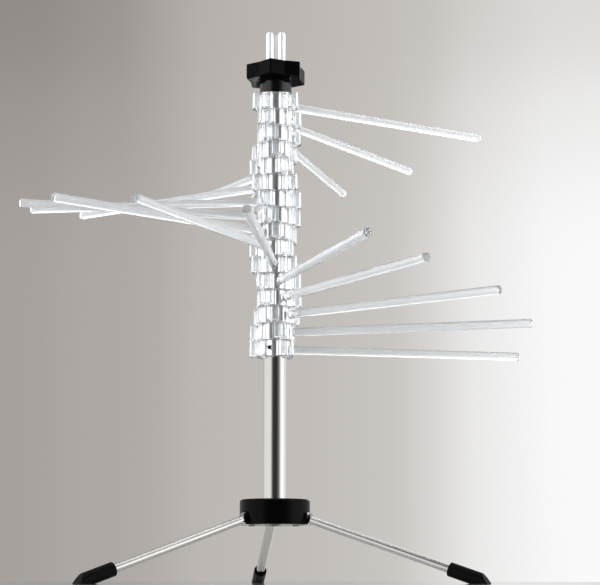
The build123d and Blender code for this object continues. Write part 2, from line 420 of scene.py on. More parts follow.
# one arm, in millimetres, its rod along +X; peg and slot are two radii and two azimuths
armSizes = {
    "height": 13.5,
    "core": 15.2,
    "reach": 21.7,
    "nose": 3,
    "edge": 0.5,
    "bore": 9.86,
    "boreEdge": 0.3,
    "cupWall": 1.5,
    "cupFloor": 1.6,
    "cupStart": 14.1,
    "cupCorner": 1.25,
    "cupRim": 0.3,
    "cupRound": 0.25,
    "drain": 2.0,
    "slot": (10.75, 13.25, 174.3, 212.7),
    "slotDepth": 1.9,
    "peg": (11, 13, 175.3, 184.7),
    "pegHeight": 1.5,
    "pegEdge": 0.2,
    "rod": 3.5,
    "rodRoot": 0.7,
    "rodFoot": 2,
    "rodReach": 210,
    "rodTip": 1.1,
    "rodTipFlat": 0.3,
    "rodPatch": 2.45,
    "milkGap": 1,
    "coreSteps": 6,
    "flankSteps": 2,
    "sideSteps": 4,
    "noseSteps": 14,
    "edgeSteps": 3,
    "roundSteps": 4,
    "boreSteps": 72,
    "cupCornerSteps": 6,
    "cupNoseSteps": 10,
    "drainSteps": 24,
    "slotSteps": 16,
    "rodSteps": 48,
    "rodLoops": 7,
    "tipSteps": 5,
}

# the lowest ring's recess and hole for the set screw, whose bottom stops short of the bore
screwSizes = {
    "sector": 2,
    "recess": 3.1,
    "recessDepth": 0.7,
    "hole": 1.7,
    "bottom": 10.4,
}


def flankOf(sizes):
    # place of a lobe's nose and angle a of the flank's normal, cos a = (core - nose) / place, also in degrees
    nosePlace = sizes["reach"] - sizes["nose"]
    alpha = math.acos((sizes["core"] - sizes["nose"]) / nosePlace)
    return nosePlace, alpha, math.degrees(alpha)


def ringPlan(sizes, inset):
    # round core and three noses joined by straight flanks; each sector starts on a flank, crosses the core's
    # arc about azimuth 120 n and goes round the nose at 120 n + 60
    nosePlace, alpha, lean = flankOf(sizes)
    length = nosePlace * math.sin(alpha)
    near = sizes["rodPatch"]
    core = sizes["core"] - inset
    nose = sizes["nose"] - inset
    nearCount, sideCount = sizes["flankSteps"] + 1, sizes["sideSteps"] + 1

    def flank(side, places):
        # points along the flank on one side of a lobe that points along +X, y = side (core sin a - t cos a)
        return np.column_stack([core * math.cos(alpha) + places * math.sin(alpha),
                                side * (core * math.sin(alpha) - places * math.cos(alpha))])

    sectors = []
    for n in range(lobes):
        earlier, later = lobeTurn * (n - 0.5), lobeTurn * (n + 0.5)
        before = turned(flank(1, np.linspace(near, 0, nearCount)[:-1]), earlier)
        middle = arc((0, 0), core, earlier + lean, later - lean, sizes["coreSteps"])
        after = turned(flank(-1, np.linspace(0, near, nearCount)[1:]), later)
        out = turned(flank(-1, np.linspace(near, length, sideCount)[1:-1]), later)
        tip = turned(arc((nosePlace, 0), nose, -lean, lean, sizes["noseSteps"]), later)
        back = turned(flank(1, np.linspace(length, near, sideCount)[1:-1]), later)
        sectors += [before, middle, after, out, tip, back]
    return np.vstack(sectors)


def cupPlan(sizes, inset):
    # rounded wedge: corner arcs about fixed centres and the nose's arc, all shrunk by the inset
    nosePlace, alpha, lean = flankOf(sizes)
    corner = sizes["cupCorner"]
    further = sizes["cupWall"] + corner
    x = sizes["cupStart"] + corner
    y = (sizes["core"] - further - x * math.cos(alpha)) / math.sin(alpha)
    radius = corner - (inset - sizes["cupWall"])
    return np.vstack([
        arc((x, -y), radius, -180, -lean, sizes["cupCornerSteps"]),
        arc((nosePlace, 0), sizes["nose"] - inset, -lean, lean, sizes["cupNoseSteps"]),
        arc((x, y), radius, lean, 180, sizes["cupCornerSteps"]),
    ])


def edgeLevels(edge, bottom, top, steps):
    # heights and insets of a wall's two rounded edges: z = bottom + edge (1 - cos t) and
    # inset = edge (1 - sin t), and the same down from the top
    turns = quarterTurns(steps)
    low = [(bottom + edge * (1 - math.cos(t)), edge * (1 - math.sin(t))) for t in turns]
    high = [(top - edge * (1 - math.cos(t)), edge * (1 - math.sin(t))) for t in turns[::-1]]
    return low, high


def patchCount(sizes):
    # points of a ring's plan on the patch of wall between two lobes
    return 2 * sizes["flankSteps"] + sizes["coreSteps"] + 1


def rodCircle(sizes, radius):
    # y and z of a circle about the rod's axis
    turns = np.linspace(0, 2 * math.pi, sizes["rodSteps"], endpoint=False)
    return radius * np.cos(turns), sizes["height"] / 2 + radius * np.sin(turns)


def wallLoop(sizes, radius, out=0):
    # that circle on the ring's wall, x as the ring's plan gives it for each y
    y, z = rodCircle(sizes, radius)
    plan = ringPlan(sizes, 0)[:patchCount(sizes)]
    return np.column_stack([np.interp(y, plan[:, 1], plan[:, 0]) + out, y, z])


def flatLoop(sizes, radius, x):
    # that circle at one x
    y, z = rodCircle(sizes, radius)
    return np.column_stack([np.full(len(y), x), y, z])


def addWall(skin, sizes, lower, upper, screw):
    # wall of the ring, closed about the rod's root, and about the set screw's recess where there is one; the
    # recess and its hole are made about +X and turned to their sector
    patch = patchCount(sizes)
    sector = len(lower) // lobes
    holed = [0] if screw is None else [0, screw["sector"]]
    for i in range(len(lower)):
        if i // sector in holed and i % sector < patch - 1:
            continue
        j = (i + 1) % len(lower)
        skin.faces.append((lower[i], lower[j], upper[j], upper[i]))
    root = sizes["rodRoot"]
    rod = [skin.add(wallLoop(sizes, sizes["rod"] + root * (1 - math.sin(t)), root * (1 - math.cos(t))))
           for t in quarterTurns(sizes["roundSteps"])]
    skin.fill([lower[:patch] + upper[:patch][::-1], rod[0]], axes=(1, 2))
    if screw is not None:
        floor = sizes["core"] - screw["recessDepth"]
        hollow = [wallLoop(sizes, screw["recess"]), flatLoop(sizes, screw["recess"], floor),
                  flatLoop(sizes, screw["hole"], floor), flatLoop(sizes, screw["hole"], screw["bottom"])]
        hollow = [skin.add(turned(points, lobeTurn * screw["sector"])) for points in hollow]
        skin.stack(hollow)
        skin.cap(hollow[-1])
        first = sector * screw["sector"]
        around = slice(first, first + patch)
        skin.fill([lower[around] + upper[around][::-1], hollow[0]], axes=(0, 2))
    return rod


def addRod(skin, sizes, rod):
    # goes on from the loops of the rod's root to its rounded end, whose points are to be frosted
    radius, tip, reach = sizes["rod"], sizes["rodTip"], sizes["rodReach"]
    for x in np.linspace(sizes["core"] + sizes["rodFoot"], reach - tip, sizes["rodLoops"]):
        rod.append(skin.add(flatLoop(sizes, radius, x)))
    frostStart = skin.count
    for t in quarterTurns(sizes["tipSteps"])[1:]:
        x = reach - tip * (1 - math.sin(t))
        rod.append(skin.add(flatLoop(sizes, radius - tip * (1 - math.cos(t)), x)))
    rod.append(skin.add(flatLoop(sizes, radius * sizes["rodTipFlat"], reach)))
    skin.stack(rod)
    skin.cap(rod[-1])
    return frostStart, skin.count


def addBore(skin, sizes):
    # hole for the column, a little wider at both ends
    circle = arc((0, 0), 1, 0, 360, sizes["boreSteps"], ends=False)
    height, hole, edge = sizes["height"], sizes["bore"], sizes["boreEdge"]
    levels = ((0, hole + edge), (edge, hole), (height - edge, hole), (height, hole + edge))
    return skin.rise([(circle * radius, z) for z, radius in levels])


def addCups(skin, sizes):
    # a cup in each lobe, its rim and its floor rounded, with a drain through its floor
    height, wall, rim = sizes["height"], sizes["cupWall"], sizes["cupRim"]
    floor, bowl = sizes["cupFloor"], sizes["cupRound"]
    levels = [(height, wall - rim), (height - bow * rim, wall - bow * rim), (height - rim, wall),
              (floor + bowl, wall)]
    levels += [(floor + bowl * (1 - math.sin(t)), wall + bowl * (1 - math.cos(t)))
               for t in quarterTurns(sizes["roundSteps"])[1:]]
    drainPlace = (sizes["cupStart"] + sizes["reach"] - sizes["nose"]) / 2
    drainPlan = arc((drainPlace, 0), sizes["drain"], 0, 360, sizes["drainSteps"], ends=False)
    cups, drains = [], []
    for n in range(lobes):
        azimuth = lobeTurn * (n + 0.5)
        cup = skin.rise([(turned(cupPlan(sizes, inset), azimuth), z) for z, inset in levels])
        drain = skin.rise([(turned(drainPlan, azimuth), z) for z in (0, floor)])
        skin.fill([cup[-1], drain[1]])
        cups.append(cup[0])
        drains.append(drain[0])
    return cups, drains


def addPegAndSlot(skin, sizes):
    # stop peg above, and below the arc slot for the next ring's peg
    inner, outer, start, stop = sizes["peg"]
    height, edge = sizes["height"], sizes["pegEdge"]
    lean = math.degrees(edge / outer)
    top = height + sizes["pegHeight"]
    side = blockLoop(inner, outer, start, stop)
    end = blockLoop(inner + edge, outer - edge, start + lean, stop - lean)
    peg = skin.rise([(side, height), (side, top - edge), (end, top)])
    skin.fill([peg[-1]])
    slotPlan = blockLoop(*sizes["slot"], steps=sizes["slotSteps"])
    slot = skin.rise([(slotPlan, 0), (slotPlan, sizes["slotDepth"])])
    skin.fill([slot[1]])
    return peg[0], slot[0]


def armSkin(sizes, screw=None):
    # ring and rod as one closed surface of outlines at levels and of circles along the rod, with a hole for a
    # set screw if one is given
    skin = Skin()
    low, high = edgeLevels(sizes["edge"], 0, sizes["height"], sizes["edgeSteps"])
    lowLoops = skin.rise([(ringPlan(sizes, inset), z) for z, inset in low])
    highLoops = skin.rise([(ringPlan(sizes, inset), z) for z, inset in high])
    root = addWall(skin, sizes, lowLoops[-1], highLoops[0], screw)
    frostRange = addRod(skin, sizes, root)
    bore = addBore(skin, sizes)
    cups, drains = addCups(skin, sizes)
    peg, slot = addPegAndSlot(skin, sizes)
    skin.fill([highLoops[-1], peg, bore[-1]] + cups)
    skin.fill([lowLoops[0], slot, bore[0]] + drains)
    return skin, frostRange


def nodePlace(name, within=0.5):
    # azimuth of the node's farthest points, in degrees, and its lowest height, in millimetres
    node = nodes[name]
    points = np.array([node.matrix_world @ vertex.co for vertex in node.data.vertices]) * toMillimetres
    reach = np.hypot(points[:, 0], points[:, 1])
    far = points[reach > reach.max() - within].mean(axis=0)
    return math.degrees(math.atan2(far[1], far[0])), points[:, 2].min()


def armLayers(shape, frostRange):
    # frost is one on the rod's end, milk has a value each for ring, rod and end
    points = shape.all()
    frost = np.zeros(len(points))
    frost[frostRange[0]:frostRange[1]] = 1
    reach = np.hypot(points[:, 0], points[:, 1])
    white = np.where(reach < armSizes["reach"] + armSizes["milkGap"], milk["ring"], milk["rod"])
    return {"frost": frost, "milk": np.where(frost > 0, milk["tip"], white)}


armNames = sorted(name for name in nodes if name.startswith("arm_"))
plainArm = armSkin(armSizes)
lowestArm = armSkin(armSizes, screwSizes)
for name in armNames:
    shape, frostRange = lowestArm if name == armNames[-1] else plainArm
    azimuth, bottom = nodePlace(name)
    points = turned(shape.all(), azimuth)
    points[:, 2] += bottom
    finished(name, points, shape.faces, armLayers(shape, frostRange))
print("arms made:", len(armNames), "with", len(plainArm[0].faces), "faces each")

# knob with six creased points, in millimetres; the peg's hole is two radii and two azimuths
knobSizes = {
    "reach": 26.2,
    "crease": 21.2,
    "points": 6,
    "angle": -100,
    "tipRound": 1.6,
    "creaseRound": 2.5,
    "edge": 0.9,
    "height": 12.5,
    "collar": 13.4,
    "collarEdge": 0.2,
    "collarHeight": 12.4,
    "bore": 9.86,
    "ledge": 12.8,
    "ledgeDepth": 3.1,
    "peg": (10.95, 13.05, 175.05, 184.95),
    "pegDepth": 1.9,
    # margin of the knob's collar that gets the painted highlight
    "paintedGleamGap": 0.1,
    "edgeSteps": 4,
    "cornerSteps": 5,
    "roundSteps": 96,
}


def roundedPlan(corners, radii, inset, steps):
    # polygon whose corners are arcs; an inset shrinks the outward ones and widens the inward ones
    arcs = []
    total = len(corners)
    for i in range(total):
        before = corners[i] - corners[i - 1]
        after = corners[(i + 1) % total] - corners[i]
        before, after = before / np.linalg.norm(before), after / np.linalg.norm(after)
        turn = math.atan2(before[0] * after[1] - before[1] * after[0], before @ after)
        side = 1 if turn > 0 else -1
        left = np.array([-before[1], before[0]])
        leftAfter = np.array([-after[1], after[0]])
        bisector = (left + leftAfter) / np.linalg.norm(left + leftAfter)
        centre = corners[i] + side * bisector * radii[i] / math.cos(turn / 2)
        start = math.degrees(math.atan2(-side * left[1], -side * left[0]))
        arcs.append(arc(centre, radii[i] - side * inset, start, start + math.degrees(turn), steps))
    return np.vstack(arcs)


def knobSkin(sizes, bottom, pegAzimuth):
    # star with creased sides on a collar, bored for the column, with a ledge on top and a peg's hole below
    skin = Skin()
    turns = np.radians(np.arange(2 * sizes["points"]) * 180 / sizes["points"])
    reach = np.tile([sizes["reach"], sizes["crease"]], sizes["points"])
    radii = np.tile([sizes["tipRound"], sizes["creaseRound"]], sizes["points"])
    corners = np.column_stack([reach * np.cos(turns), reach * np.sin(turns)])
    starBottom = bottom + sizes["collarHeight"]
    top = starBottom + sizes["height"]
    ledgeFloor = top - sizes["ledgeDepth"]
    low, high = edgeLevels(sizes["edge"], starBottom, top, sizes["edgeSteps"])
    plans = [(roundedPlan(corners, radii, inset, sizes["cornerSteps"]), z) for z, inset in low + high]
    star = skin.rise([(turned(plan, sizes["angle"]), z) for plan, z in plans])
    circle = arc((0, 0), 1, 0, 360, sizes["roundSteps"], ends=False)
    outside, edge = circle * sizes["collar"], sizes["collarEdge"]
    collar = skin.rise([(circle * (sizes["collar"] - edge), bottom), (outside, bottom + edge),
                        (outside, starBottom)])
    skin.fill([star[0], collar[-1]])
    ledge = skin.rise([(circle * sizes["ledge"], top), (circle * sizes["ledge"], ledgeFloor)])
    skin.fill([star[-1], ledge[0]])
    bore = skin.rise([(circle * sizes["bore"], ledgeFloor), (circle * sizes["bore"], bottom)])
    skin.bridge(ledge[1], bore[0])
    holePlan = turned(blockLoop(*sizes["peg"]), pegAzimuth)
    hole = skin.rise([(holePlan, bottom), (holePlan, bottom + sizes["pegDepth"])])
    skin.fill([hole[1]])
    skin.fill([collar[0], bore[1], hole[0]])
    return skin


def nodeHeights(name):
    # lowest and highest point of a node, in millimetres
    low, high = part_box(name)
    return low[2] * toMillimetres, high[2] * toMillimetres


topArmAzimuth = nodePlace("arm_01")[0]
knobBottom = nodeHeights("knob")[0]
knobShape = knobSkin(knobSizes, knobBottom, topArmAzimuth)
knobPoints = knobShape.all()
# the knob's collar gets a painted highlight: its reflections are raised above those of the same black plastic
# on the star
paintedGleamMask = np.hypot(knobPoints[:, 0], knobPoints[:, 1]) < knobSizes["collar"] + knobSizes["paintedGleamGap"]
paintedGleamMask &= knobPoints[:, 2] < knobBottom + knobSizes["collarHeight"] + knobSizes["paintedGleamGap"]
pieceFor("knob", knobShape, layers={"paintedGleam": paintedGleamMask})

# wand of two ribs and a web, in millimetres
wandSizes = {
    "rib": 3.2,
    "place": 4.9,
    "web": 1.3,
    "webDrop": 2.6,
    "dome": 2.4,
    "domeTurn": 84,
    "domeSteps": 8,
    "ribSteps": 40,
    "joinSteps": 6,
    "loops": 9,
}


def wandSkin(sizes, foot, top):
    # two ribs with domed tips, x = side (place + r cos t), y = r sin t, joined by a web that ends below
    # the tips
    skin = Skin()
    place, rib, dome = sizes["place"], sizes["rib"], sizes["dome"]
    join = math.degrees(math.asin(sizes["web"] / rib))
    webTop = top - sizes["webDrop"]
    outerPlan = {
        1: arc((place, 0), rib, -180 + join, 180 - join, sizes["ribSteps"]),
        -1: arc((-place, 0), rib, join, 360 - join, sizes["ribSteps"]),
    }
    innerPlan = {
        1: arc((place, 0), rib, 180 - join, 180 + join, sizes["joinSteps"])[1:-1],
        -1: arc((-place, 0), rib, -join, join, sizes["joinSteps"])[1:-1],
    }
    bothPlan = np.vstack([outerPlan[1], outerPlan[-1]])
    both = skin.rise([(bothPlan, z) for z in np.linspace(foot, webTop, sizes["loops"])])
    skin.fill([both[0]])
    half = len(outerPlan[1])
    upper = {1: both[-1][:half], -1: both[-1][half:]}
    inner = {side: skin.add(lifted(innerPlan[side], webTop)) for side in (1, -1)}
    webEnd = inner[1][::-1] + [upper[1][-1], upper[-1][0]] + inner[-1][::-1] + [upper[-1][-1], upper[1][0]]
    skin.fill([webEnd])
    for side in (1, -1):
        base = upper[side] + inner[side]
        plan = skin.all()[base][:, :2]
        centre = np.array([side * place, 0])
        loops = [base]
        for t in np.radians(np.linspace(0, sizes["domeTurn"], sizes["domeSteps"] + 1)):
            share = (rib - dome * (1 - math.cos(t))) / rib
            loops.append(skin.add(lifted(centre + (plan - centre) * share, top - dome * (1 - math.sin(t)))))
        skin.stack(loops)
        skin.cap(loops[-1])
    return skin


wandShape = wandSkin(wandSizes, *nodeHeights("wand"))
pieceFor("wand", wandShape, layers={"milk": np.full(wandShape.count, milk["wand"])})

# turned pieces in the column, in millimetres
tubeSizes = {"outer": 9.8, "inner": 9.0, "edge": 0.15, "steps": 128}
bushSizes = {"flange": 12.4, "flangeHeight": 2.4, "outer": 8.95, "bore": 8.3, "edge": 0.4}
plugSizes = {"outer": 8.95, "bore": 2.55, "edge": 0.3}


def latheSkin(profile, steps=96, closed=True):
    # profile of (radius, height) turned about the column's axis
    skin = Skin()
    circle = arc((0, 0), 1, 0, 360, steps, ends=False)
    loops = skin.rise([(circle * radius, z) for radius, z in profile])
    if closed:
        skin.bridge(loops[-1], loops[0])
    else:
        skin.cap(loops[0])
        skin.cap(loops[-1])
    return skin


def tubeProfile(sizes, low, high):
    # thin wall with broken edges at both ends
    outer, inner, edge = sizes["outer"], sizes["inner"], sizes["edge"]
    return [(outer - edge, low), (outer, low + edge), (outer, (low + high) / 2), (outer, high - edge),
            (outer - edge, high), (inner + edge, high), (inner, high - edge), (inner, low + edge),
            (inner + edge, low)]


def bushProfile(sizes, low, high):
    # bored bush with a rounded flange on top
    outer, bore, flange, edge = sizes["outer"], sizes["bore"], sizes["flange"], sizes["edge"]
    seat = high - sizes["flangeHeight"]
    return [(outer - edge, low), (outer, low + edge), (outer, seat), (flange, seat), (flange, high - edge),
            (flange - bow * edge, high - bow * edge), (flange - edge, high), (bore + edge, high),
            (bore, high - edge), (bore, low)]


def plugProfile(sizes, low, high):
    # outside of a plug with broken edges
    outer, edge = sizes["outer"], sizes["edge"]
    return [(outer - edge, low), (outer, low + edge), (outer, high - edge), (outer - edge, high)]


pieceFor("column_tube", latheSkin(tubeProfile(tubeSizes, *nodeHeights("column_tube")), tubeSizes["steps"]))
pieceFor("guide_bush", latheSkin(bushProfile(bushSizes, *nodeHeights("guide_bush"))))
pieceFor("wand_stop", latheSkin(plugProfile(plugSizes, *nodeHeights("wand_stop")), closed=False))
low, high = nodeHeights("column_plug")
plugBore = [(plugSizes["bore"], high), (plugSizes["bore"], low)]
pieceFor("column_plug", latheSkin(plugProfile(plugSizes, low, high) + plugBore))
print("knob, wand, tube and bush made")

# one leg, in millimetres; places are distances from the column's axis, and lengths along the leg count
# from its pin
legSizes = {
    "pinPlace": 20.5,
    "pinHeight": 54.4,
    "radius": 3.85,
    "endPlace": 166,
    "eye": 5.4,
    "eyeHalf": 2.4,
    "eyeEdge": 0.5,
    "hole": 2.06,
    "flat": 9.5,
    "blend": 3.5,
    "edge": 0.5,
    "flatSteps": 4,
    "eyeSteps": 24,
    "holeSteps": 24,
    "endPoints": 8,
    "blendSteps": 8,
    "rodSteps": 7,
}

# the sleeve on a leg's outer end
footSizes = {
    "radius": 5.6,
    "mouthPlace": 148.4,
    "mouthHeight": 11.2,
    "toePlace": 180.2,
    "toeLean": 5.3,
    "toeTop": 8.0,
    "bore": 3.9,
    "boreStep": 4,
    "endGap": 0.05,
    "edge": 0.7,
    "bevel": 0.5,
    "roundSteps": 96,
    "edgeSteps": 4,
    "lengthSteps": 6,
}
pinSizes = {"radius": 2.0, "half": 7.0, "edge": 0.3, "steps": 32}


def slope(sizes, foot):
    # angle down from the pin to the foot's mouth
    return math.atan2(sizes["pinHeight"] - foot["mouthHeight"], foot["mouthPlace"] - sizes["pinPlace"])


def alongLeg(points, sizes, angle, azimuth):
    # x along the leg's slope, y across it and z square to both, moved onto the pin and turned to the
    # leg's azimuth
    x, y, z = points[:, 0], points[:, 1], points[:, 2]
    made = np.column_stack([
        sizes["pinPlace"] + x * math.cos(angle) + z * math.sin(angle),
        y,
        sizes["pinHeight"] - x * math.sin(angle) + z * math.cos(angle),
    ])
    return turned(made, azimuth)


def legSkin(sizes, angle, azimuth):
    # flat eye with a pin hole, blended into a round rod with a broken end
    skin = Skin()
    half, eye, flat = sizes["eyeHalf"], sizes["eye"], sizes["flat"]
    edge = sizes["eyeEdge"]

    def sideLoop(plan, y):
        # points with x and z from a plan, all at one y
        return skin.add(np.column_stack([plan[:, 0], np.full(len(plan), y), plan[:, 1]]))

    def crossLoop(x, section):
        # points with y and z from a section, all at one x
        return skin.add(np.column_stack([np.full(len(section), x), section]))

    def outline(inset):
        # eye's outline in x and z, from the flat's upper end round the pin to its lower end
        run = np.linspace(flat, 0, sizes["flatSteps"] + 1)[:-1]
        return np.vstack([
            np.column_stack([run, np.full(len(run), eye - inset)]),
            arc((0, 0), eye - inset, 90, 270, sizes["eyeSteps"]),
            np.column_stack([run[::-1], np.full(len(run), inset - eye)]),
        ])

    acrossLevels = [(-half, edge), (-half + bow * edge, bow * edge), (-half + edge, 0),
                    (half - edge, 0), (half - bow * edge, bow * edge), (half, edge)]
    strips = [sideLoop(outline(inset), y) for y, inset in acrossLevels]
    skin.stack(strips, closed=False)
    heights = np.linspace(eye - edge, -eye + edge, sizes["endPoints"])[1:-1]
    endPlan = np.column_stack([np.full(len(heights), flat), heights])
    holePlan = arc((0, 0), sizes["hole"], 0, 360, sizes["holeSteps"], ends=False)
    ends, holes = {}, {}
    for y, strip in ((-half, strips[0]), (half, strips[-1])):
        ends[y] = sideLoop(endPlan, y)
        holes[y] = sideLoop(holePlan, y)
        skin.fill([strip + ends[y][::-1], holes[y]], axes=(0, 2))
    skin.bridge(holes[-half], holes[half])

    # the flat's end as one loop, then loops whose points move onto a circle
    loop = [strip[0] for strip in strips] + ends[half]
    loop += [strip[-1] for strip in strips[::-1]] + ends[-half][::-1]
    start = skin.all()[loop][:, 1:]
    turns = np.arctan2(start[:, 1] / eye, start[:, 0] / half)
    circle = np.column_stack([np.cos(turns), np.sin(turns)]) * sizes["radius"]
    length = (sizes["endPlace"] - sizes["pinPlace"]) / math.cos(angle)
    blendEnd = flat + sizes["blend"]
    loops = [loop]
    for share in np.linspace(0, 1, sizes["blendSteps"] + 1)[1:]:
        smooth = share * share * (3 - 2 * share)
        loops.append(crossLoop(flat + share * sizes["blend"], start * (1 - smooth) + circle * smooth))
    for x in np.linspace(blendEnd, length - sizes["edge"], sizes["rodSteps"] + 1)[1:]:
        loops.append(crossLoop(x, circle))
    loops.append(crossLoop(length, circle * (1 - sizes["edge"] / sizes["radius"])))
    skin.stack(loops)
    skin.cap(loops[-1])
    skin.points = [alongLeg(skin.all(), sizes, angle, azimuth)]
    return skin


def footSkin(leg, sizes, angle, azimuth):
    # straight lines of a sleeve along the leg's slope, each cut where it meets the sole or the leaning toe
    skin = Skin()
    start = (sizes["mouthPlace"] - leg["pinPlace"]) / math.cos(angle)
    edge, radius = sizes["edge"], sizes["radius"]
    turns = np.linspace(0, 2 * math.pi, sizes["roundSteps"], endpoint=False)

    def circleAt(x, reach):
        # circle square to the leg
        circle = np.column_stack([np.full(len(turns), x), reach * np.cos(turns), reach * np.sin(turns)])
        return alongLeg(circle, leg, angle, 0)

    circles = [circleAt(start + edge * (1 - math.sin(t)), radius - edge * (1 - math.cos(t)))
               for t in quarterTurns(sizes["edgeSteps"])[::-1]]
    base = circles[-1]
    drop, out = -math.sin(angle), math.cos(angle)
    toSole = base[:, 2] / -drop
    leanShare = sizes["toeLean"] / sizes["toeTop"]
    toToe = (sizes["toePlace"] - base[:, 0] - base[:, 2] * leanShare) / (out + drop * leanShare)
    toUpright = (sizes["toePlace"] - sizes["toeLean"] - base[:, 0]) / out
    toToe = np.where(base[:, 2] + toToe * drop > sizes["toeTop"], toUpright, toToe)
    far = np.minimum(toSole, toToe)
    for share in np.linspace(0, 1, sizes["lengthSteps"] + 1)[1:]:
        circles.append(base + np.column_stack([far * share * out, np.zeros(len(far)), far * share * drop]))
    loops = [skin.add(points) for points in circles]
    skin.stack(loops)

    # the last loop's points on the sole and on the toe close it with a face each
    onSole = toSole <= toToe
    first = int(np.flatnonzero(onSole & ~np.roll(onSole, 1))[0])
    order = np.roll(np.arange(len(turns)), -first)
    sole = [loops[-1][i] for i in order if onSole[i]]
    toe = [loops[-1][i] for i in order if not onSole[i]]
    skin.faces.append(tuple(sole))
    skin.faces.append(tuple([sole[-1]] + toe + [sole[0]]))
    deep = (leg["endPlace"] - leg["pinPlace"]) / math.cos(angle) + sizes["endGap"]
    bore = [skin.add(circleAt(x, sizes["bore"])) for x in (start, start + sizes["boreStep"], deep)]
    skin.bridge(loops[0], bore[0])
    skin.stack(bore)
    skin.cap(bore[-1])
    skin.points = [turned(skin.all(), azimuth)]
    return skin


def pinSkin(leg, sizes, azimuth):
    # round pin across a leg's eye
    skin = Skin()
    radius, half, edge = sizes["radius"], sizes["half"], sizes["edge"]
    turns = np.linspace(0, 2 * math.pi, sizes["steps"], endpoint=False)
    levels = ((-half, radius - edge), (-half + edge, radius), (half - edge, radius), (half, radius - edge))
    loops = []
    for y, reach in levels:
        points = np.column_stack([leg["pinPlace"] + reach * np.cos(turns), np.full(len(turns), y),
                                  leg["pinHeight"] + reach * np.sin(turns)])
        loops.append(skin.add(turned(points, azimuth)))
    skin.stack(loops)
    skin.cap(loops[0])
    skin.cap(loops[-1])
    return skin


legAngle = slope(legSizes, footSizes)
for n in (1, 2, 3):
    azimuth = nodePlace(f"leg_{n}")[0]
    pieceFor(f"leg_{n}", legSkin(legSizes, legAngle, azimuth))
    pieceFor(f"foot_{n}", footSkin(legSizes, footSizes, legAngle, azimuth), bevel=footSizes["bevel"])
    pieceFor(f"leg_pin_{n}", pinSkin(legSizes, pinSizes, azimuth))
print("legs and feet made")

# width of the rounded edges, and the share of its depth that a piece keeps under the hub
hubEdges = {
    "hub_body": (0.35, 1),
    "hub_base_plate": (0.25, 1),
    "ring_set_screw": (0.1, 1),
    "hub_screws": (0.2, 0.35),
    "column_screw": (0.2, 0.35),
}
hubBottom = nodeHeights("hub_base_plate")[0]
for name, (width, belowShare) in hubEdges.items():
    mergedCopy(name, hubBottom, width, belowShare)
print("hub and screws made")

# the studio: grey level by azimuth in degrees, from +Y towards +X, and by the height of a direction
studio = {
    "seen": [(-180, 0.5), (-60, 0.4), (-9.1, 0.356), (-7.7, 0.385), (-5.5, 0.395), (-2.7, 0.47),
             (2.3, 0.525), (4.4, 0.57), (5.6, 0.66), (6.4, 0.78), (8.0, 0.845), (10.8, 0.95), (30, 1.0),
             (90, 0.9), (180, 0.5)],
    "seenByHeight": [(-1, 1), (0.17, 1), (0.276, 0.88), (0.342, 0.74), (0.6, 0.66), (1, 0.66)],
    "seenMiddle": [(-180, 0), (-9, 0), (-4, 0.6), (2.5, 0.75), (6, 0.1), (9, 0), (180, 0)],
    "darkWarmth": (1.07, 1.0, 0.935),
    "warmLevels": (0.3, 0.95),
    "through": [(-180, 0.02), (-168, 0.08), (-155, 0.3), (-138, 1.8), (-114, 2), (-102, 0.9), (-78, 0.9),
                (-64, 2), (-40, 2), (-22, 1.8), (-12, 0.9), (-7, 0.38), (-2.7, 0.42), (2.3, 0.46),
                (5.6, 0.56), (8.5, 0.74), (11, 1), (17, 1.9), (40, 2), (64, 2), (78, 1), (102, 1),
                (112, 2), (130, 2), (142, 1.2), (155, 0.18), (166, 0.01), (180, 0.02)],
    "throughByHeight": [(-1, 1.2), (-0.2, 1.15), (0.25, 1.15), (0.45, 1.4), (1, 1.5)],
    "mirrored": [(-180, 0.025), (-163, 0.05), (-150, 0.25), (-141, 0.6), (-130, 0.78), (-106, 0.78),
                 (-79, 0.76), (-43, 0.62), (-22, 0.4), (-9, 0.36), (-2.7, 0.47), (2.3, 0.525),
                 (5.6, 0.7), (8, 0.86), (14, 0.7), (22, 0.5), (57, 0.7), (88, 0.95), (113, 1.12),
                 (130, 0.55), (148, 0.16), (160, 0.05), (180, 0.025)],
    "mirroredByHeight": [(-1, 0.05), (-0.3, 0.08), (-0.12, 0.3), (-0.03, 1), (0.3, 1), (0.42, 0.42),
                         (0.62, 0.38), (0.8, 0.62), (1, 0.7)],
    "warmth": (1.0, 0.99, 0.975),
    "coolness": (0.95, 0.98, 1.0),
    "coolAzimuths": (-20, 20),
    "fillByHeight": [(-1, 0.6), (0, 1.05), (0.35, 1), (0.65, 0.42), (1, 0.36)],
    "brightest": 2,
}


def rampOf(tree, source, levels, low, high):
    # level by a value between low and high, as a curve of shares of the brightest level
    share = spread(tree, source, 0, 1, low, high)
    curve = tree.nodes.new("ShaderNodeFloatCurve")
    points = curve.mapping.curves[0].points
    points[0].location = (0, levels[0][1] / studio["brightest"])
    points[1].location = (1, levels[-1][1] / studio["brightest"])
    for place, level in levels[1:-1]:
        points.new((place - low) / (high - low), level / studio["brightest"])
    for point in points:
        point.handle_type = "AUTO_CLAMPED"
    curve.mapping.update()
    tree.links.new(share, curve.inputs["Value"])
    return maths(tree, "MULTIPLY", curve.outputs["Value"], studio["brightest"])


